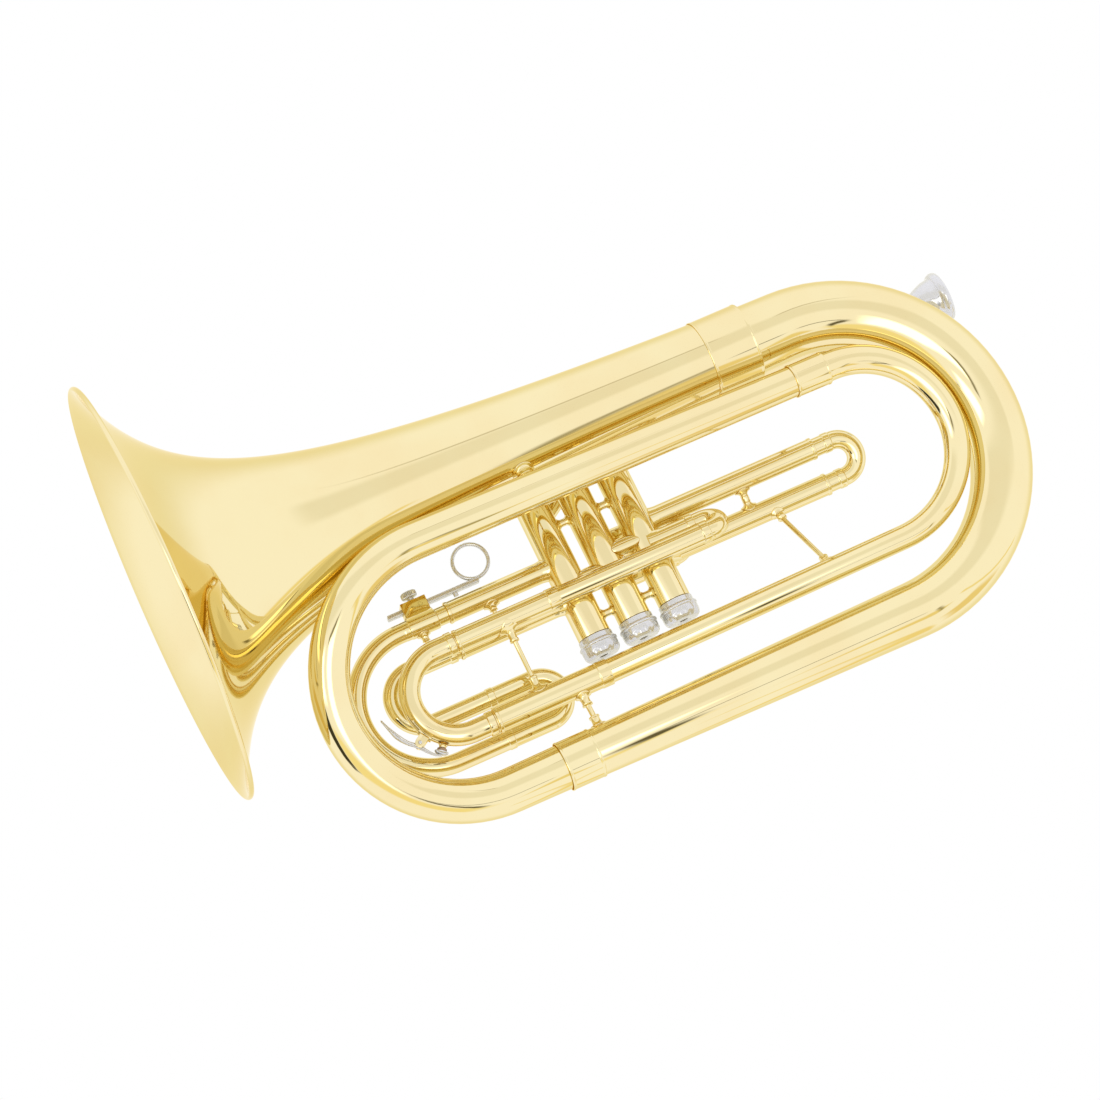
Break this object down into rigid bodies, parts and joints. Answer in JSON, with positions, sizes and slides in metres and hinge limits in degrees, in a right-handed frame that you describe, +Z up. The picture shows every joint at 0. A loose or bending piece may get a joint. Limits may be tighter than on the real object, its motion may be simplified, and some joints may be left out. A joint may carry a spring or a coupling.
{
  "type": "alto horn",
  "caption": "Bell-front valved brass horn: conical tube wound in a long oval, piston valves, pull slides, finger ring and mouthpiece.",
  "frame": {"origin": "axis of the middle valve at the middle of its casing, where the player's left hand holds the horn", "axes": "+X from the bell's rim towards the player along the bell's axis, +Z up along the valves, +Y to the player's right"},
  "size_m": [0.564, 0.2808, 0.3599],
  "materials": {
    "lacquered_brass": "polished under clear lacquer",
    "silver_plate": "bright silver plate",
    "spring_steel": "ground steel",
    "felt": "pressed felt",
    "cork": "plain cork"
  },
  "bodies": {
    "horn": {"bell": "lacquered_brass", "bell_ferrule": "lacquered_brass", "back_bow": "lacquered_brass", "bottom_ferrule": "lacquered_brass", "front_bow": "lacquered_brass", "upper_ferrule": "lacquered_brass", "inner_bow": "lacquered_brass", "upper_slide_sleeve": "lacquered_brass", "lower_slide_sleeve": "lacquered_brass", "main_slide_brace": "lacquered_brass", "valve_outlet_pipe": "lacquered_brass", "first_sleeve_upper": "lacquered_brass", "first_sleeve_lower": "lacquered_brass", "first_sleeve_brace": "lacquered_brass", "first_slide_stay": "lacquered_brass", "second_sleeve_upper": "lacquered_brass", "second_sleeve_lower": "lacquered_brass", "third_sleeve_upper": "lacquered_brass", "third_sleeve_lower": "lacquered_brass", "third_sleeve_brace": "lacquered_brass", "leadpipe": "lacquered_brass", "mouthpiece_receiver": "lacquered_brass", "leadpipe_brace": "lacquered_brass", "bell_brace": "lacquered_brass", "bottom_stay": "lacquered_brass", "valve_casing_1": "lacquered_brass", "top_cap_1": "silver_plate", "bottom_cap_1": "silver_plate", "piston_spring_1": "spring_steel", "valve_casing_2": "lacquered_brass", "top_cap_2": "silver_plate", "bottom_cap_2": "silver_plate", "piston_spring_2": "spring_steel", "valve_casing_3": "lacquered_brass", "top_cap_3": "silver_plate", "bottom_cap_3": "silver_plate", "piston_spring_3": "spring_steel"},
    "main_slide": {"main_tuning_slide": "lacquered_brass", "water_key_saddle": "lacquered_brass", "water_key_pin": "silver_plate", "water_key_nipple": "lacquered_brass"},
    "water_key": {"water_key_lever": "silver_plate", "water_key_cork": "cork"},
    "first_slide": {"first_slide_crook": "lacquered_brass"},
    "second_slide": {"second_slide_crook": "lacquered_brass"},
    "third_slide": {"third_slide_crook": "lacquered_brass", "finger_ring_block": "lacquered_brass"},
    "finger_ring": {"finger_ring": "silver_plate"},
    "thumb_screw": {"thumb_screw": "silver_plate"},
    "mouthpiece": {"mouthpiece": "silver_plate"},
    "valve_1": {"piston_1": "spring_steel", "stem_felt_1": "felt", "finger_button_1": "silver_plate"},
    "valve_2": {"piston_2": "spring_steel", "stem_felt_2": "felt", "finger_button_2": "silver_plate"},
    "valve_3": {"piston_3": "spring_steel", "stem_felt_3": "felt", "finger_button_3": "silver_plate"}
  },
  "joints": [
    {"name": "valve_1_stroke", "type": "slide", "parent": "horn", "child": "valve_1", "axis": [0, 0, -1], "range_m": [0, 0.016], "stiffness_N_per_m": 150, "springref_m": -0.02, "deforming": ["piston_spring_1"]},
    {"name": "valve_2_stroke", "type": "slide", "parent": "horn", "child": "valve_2", "axis": [0, 0, -1], "range_m": [0, 0.016], "stiffness_N_per_m": 150, "springref_m": -0.02, "deforming": ["piston_spring_2"]},
    {"name": "valve_3_stroke", "type": "slide", "parent": "horn", "child": "valve_3", "axis": [0, 0, -1], "range_m": [0, 0.016], "stiffness_N_per_m": 150, "springref_m": -0.02, "deforming": ["piston_spring_3"]},
    {"name": "main_slide_pull", "type": "slide", "parent": "horn", "child": "main_slide", "axis": [-1, 0, 0], "range_m": [0, 0.04]},
    {"name": "first_slide_pull", "type": "slide", "parent": "horn", "child": "first_slide", "axis": [1, 0, 0], "range_m": [0, 0.045]},
    {"name": "second_slide_pull", "type": "slide", "parent": "horn", "child": "second_slide", "axis": [1, 0, 0], "range_m": [0, 0.015]},
    {"name": "third_slide_pull", "type": "slide", "parent": "horn", "child": "third_slide", "axis": [-1, 0, 0], "range_m": [0, 0.035]},
    {"name": "finger_ring_adjust", "type": "slide", "parent": "third_slide", "child": "finger_ring", "axis": [1, 0, 0], "range_m": [-0.01, 0.008]},
    {"name": "thumb_screw_turn", "type": "hinge", "parent": "third_slide", "child": "thumb_screw", "pos_m": [-0.12545, 0, 0.0084], "axis": [0, 0, 1], "range_deg": [0, 180]},
    {"name": "water_key_press", "type": "hinge", "parent": "main_slide", "child": "water_key", "pos_m": [-0.1628, -0.0185, -0.08267], "axis": [0, 1, 0], "range_deg": [0, 15], "stiffness_Nm_per_rad": 0.05, "springref_deg": -22.92},
    {"name": "mouthpiece_pull", "type": "slide", "parent": "horn", "child": "mouthpiece", "axis": [0.9994, -0.0217, 0.0281], "range_m": [0, 0.025]}
  ]
}
